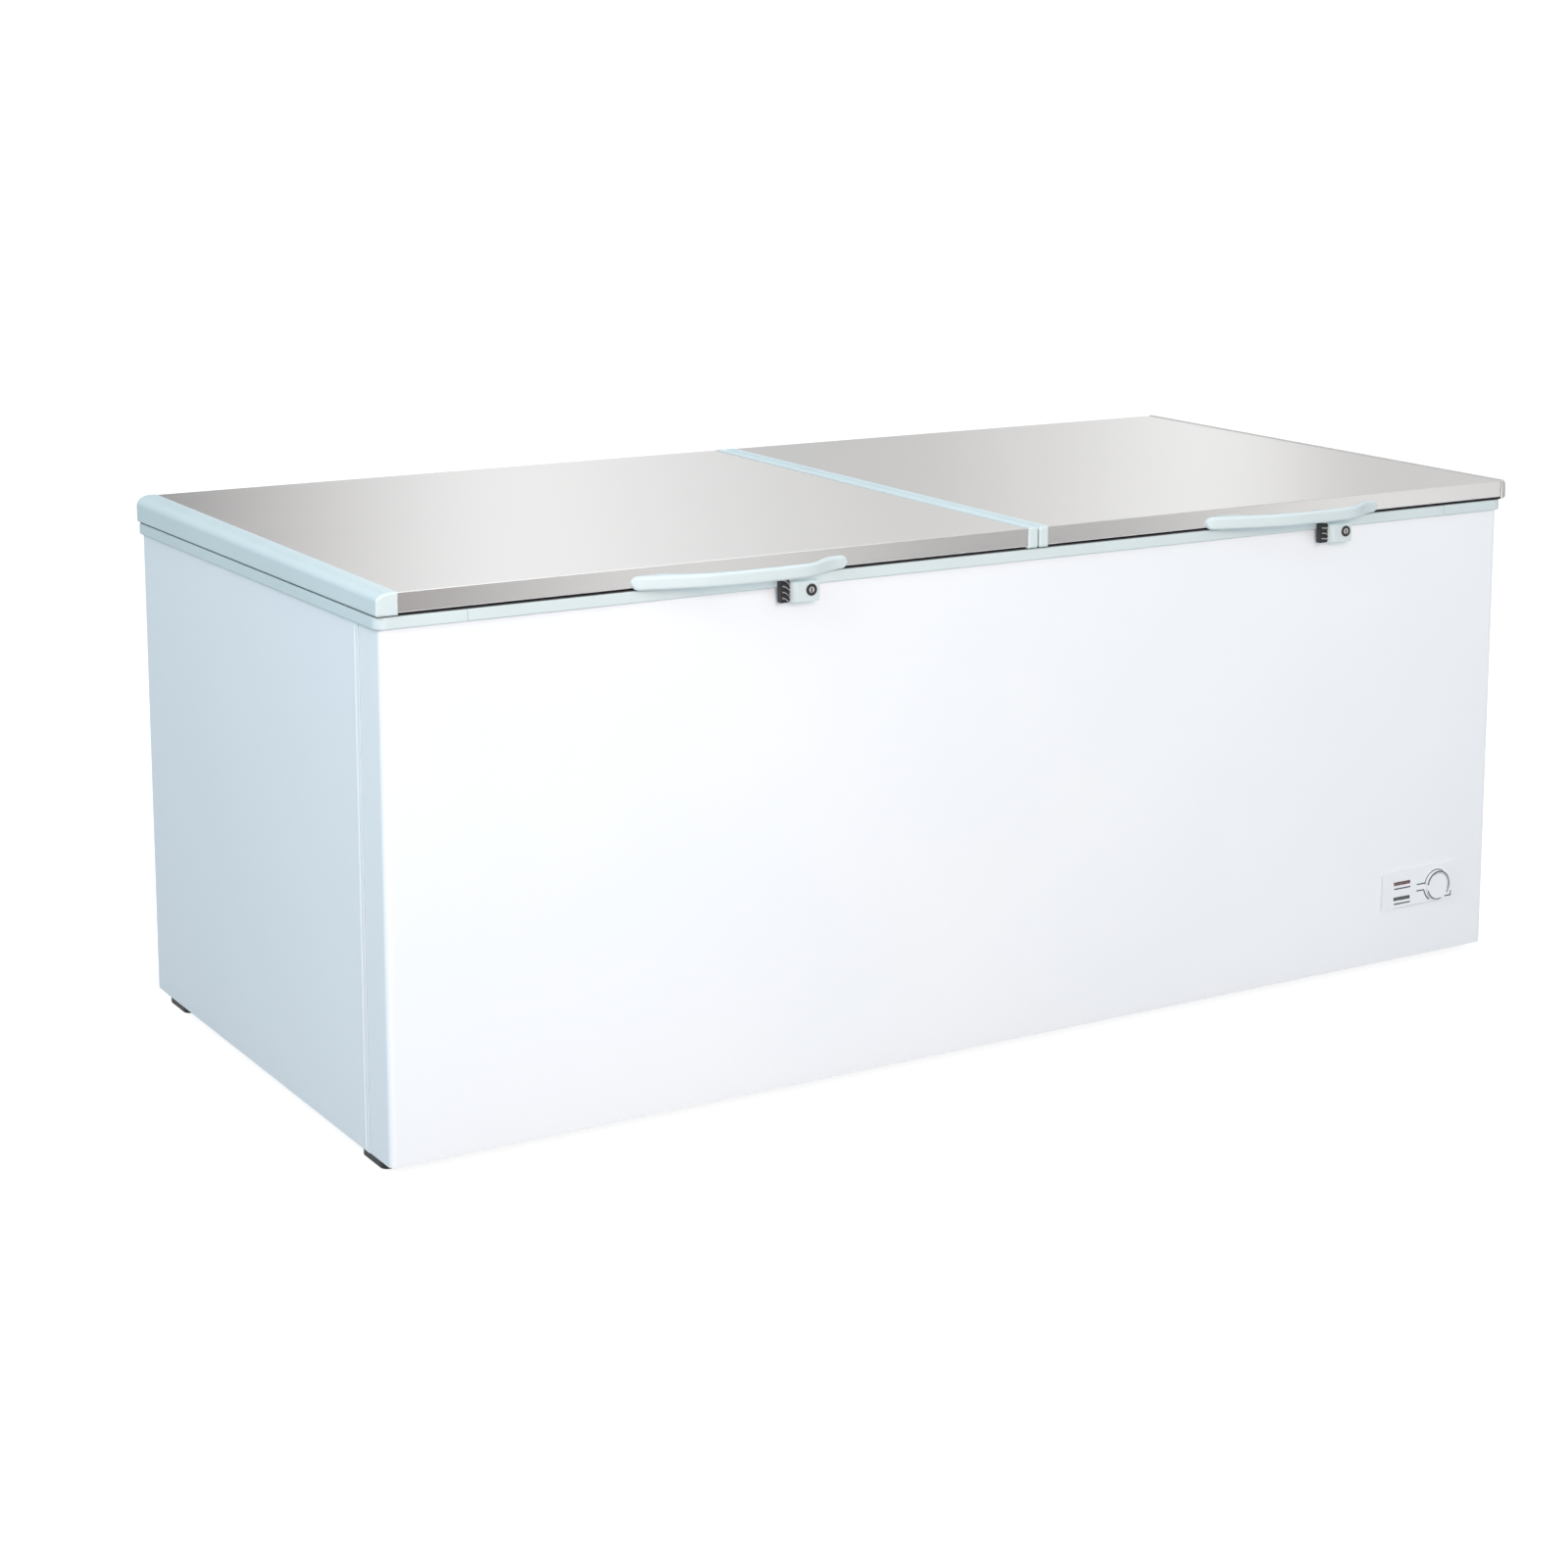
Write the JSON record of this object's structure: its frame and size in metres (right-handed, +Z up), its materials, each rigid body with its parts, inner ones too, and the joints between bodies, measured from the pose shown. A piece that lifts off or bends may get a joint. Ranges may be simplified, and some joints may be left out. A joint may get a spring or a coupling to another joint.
{
  "type": "chest freezer",
  "caption": "Long white chest freezer with brushed steel top lids side by side, pale green plastic rim and end caps, wavy grip handles, key locks and a thermostat dial.",
  "frame": {"origin": "on the floor, under the centre of the closed freezer's bounding box, handles and hinges included", "axes": "+X to the right of someone facing the freezer, +Y from the front towards the rear, +Z up"},
  "size_m": [2.12, 1.0521, 0.8563],
  "materials": {
    "white_paint": "gloss",
    "mint_plastic": "satin",
    "brushed_steel": "satin",
    "white_plastic": "satin",
    "foam": "matte",
    "rubber": "matte",
    "black_plastic": "matte",
    "black_paint": "satin",
    "zinc_steel": "satin",
    "chrome": "polished",
    "aluminium": "satin",
    "red_lens": "gloss",
    "green_lens": "gloss"
  },
  "bodies": {
    "cabinet": {"front_panel": "white_paint", "left_side_panel": "white_paint", "right_side_panel": "white_paint", "rear_panel": "white_paint", "base_pan": "black_paint", "compressor": "black_paint", "front_left_foot": "black_plastic", "front_right_foot": "black_plastic", "rear_left_foot": "black_plastic", "rear_right_foot": "black_plastic", "power_inlet": "black_plastic", "foam_floor": "foam", "foam_front_wall": "foam", "foam_rear_wall": "foam", "foam_left_wall": "foam", "foam_right_end": "foam", "control_plate": "white_plastic", "inner_liner": "aluminium", "evaporator_coil": "aluminium", "condenser": "aluminium", "centre_beam": "mint_plastic", "rim_left": "mint_plastic", "rim_right": "mint_plastic", "rim_front": "mint_plastic", "rim_rear": "mint_plastic", "left_lock_housing": "mint_plastic", "right_lock_housing": "mint_plastic", "fan_motor": "zinc_steel", "left_hinge_bracket_1": "zinc_steel", "left_hinge_bracket_2": "zinc_steel", "right_hinge_bracket_1": "zinc_steel", "right_hinge_bracket_2": "zinc_steel", "upper_lamp": "red_lens", "lower_lamp": "green_lens"},
    "left_lid": {"left_lid_skin": "brushed_steel", "left_lid_foam": "foam", "left_lid_liner": "white_plastic", "left_lid_gasket": "rubber", "left_lid_outer_cap": "mint_plastic", "left_lid_inner_cap": "mint_plastic", "left_handle": "mint_plastic", "left_lock_strike": "black_plastic", "left_hinge_arm_1": "zinc_steel", "left_hinge_arm_2": "zinc_steel"},
    "left_cylinder": {"left_lock_cylinder": "chrome"},
    "left_bolt": {"left_lock_bolt": "zinc_steel"},
    "right_lid": {"right_lid_skin": "brushed_steel", "right_lid_foam": "foam", "right_lid_liner": "white_plastic", "right_lid_gasket": "rubber", "right_lid_outer_cap": "brushed_steel", "right_lid_inner_cap": "mint_plastic", "right_handle": "mint_plastic", "right_lock_strike": "black_plastic", "right_hinge_arm_1": "zinc_steel", "right_hinge_arm_2": "zinc_steel"},
    "right_cylinder": {"right_lock_cylinder": "chrome"},
    "right_bolt": {"right_lock_bolt": "zinc_steel"},
    "fan": {"fan_blade": "black_plastic"},
    "knob": {"thermostat_knob": "white_plastic"}
  },
  "joints": [
    {"name": "left_lid_hinge", "type": "hinge", "parent": "cabinet", "child": "left_lid", "pos_m": [0, 0.518, 0.816], "axis": [-1, 0, 0], "range_deg": [0, 100]},
    {"name": "left_lock_turn", "type": "hinge", "parent": "cabinet", "child": "left_cylinder", "pos_m": [-0.3664, -0.488, 0.789], "axis": [0, 1, 0], "range_deg": [0, 90]},
    {"name": "left_bolt_slide", "type": "slide", "parent": "cabinet", "child": "left_bolt", "axis": [-1, 0, 0], "range_m": [0, 0.008]},
    {"name": "right_lid_hinge", "type": "hinge", "parent": "cabinet", "child": "right_lid", "pos_m": [0, 0.518, 0.816], "axis": [-1, 0, 0], "range_deg": [0, 100]},
    {"name": "right_lock_turn", "type": "hinge", "parent": "cabinet", "child": "right_cylinder", "pos_m": [0.6816, -0.488, 0.789], "axis": [0, 1, 0], "range_deg": [0, 90]},
    {"name": "right_bolt_slide", "type": "slide", "parent": "cabinet", "child": "right_bolt", "axis": [-1, 0, 0], "range_m": [0, 0.008]},
    {"name": "condenser_fan_spin", "type": "hinge", "parent": "cabinet", "child": "fan", "pos_m": [0.918, -0.1965, 0.16], "axis": [0, 1, 0], "continuous": true},
    {"name": "thermostat_turn", "type": "hinge", "parent": "cabinet", "child": "knob", "pos_m": [0.936, -0.47, 0.137], "axis": [0, 1, 0], "range_deg": [0, 270]}
  ],
  "couplings": [
    {"joint": "left_bolt_slide", "follows": "left_lock_turn", "m_per_rad": 0.00509},
    {"joint": "right_bolt_slide", "follows": "right_lock_turn", "m_per_rad": 0.00509}
  ]
}
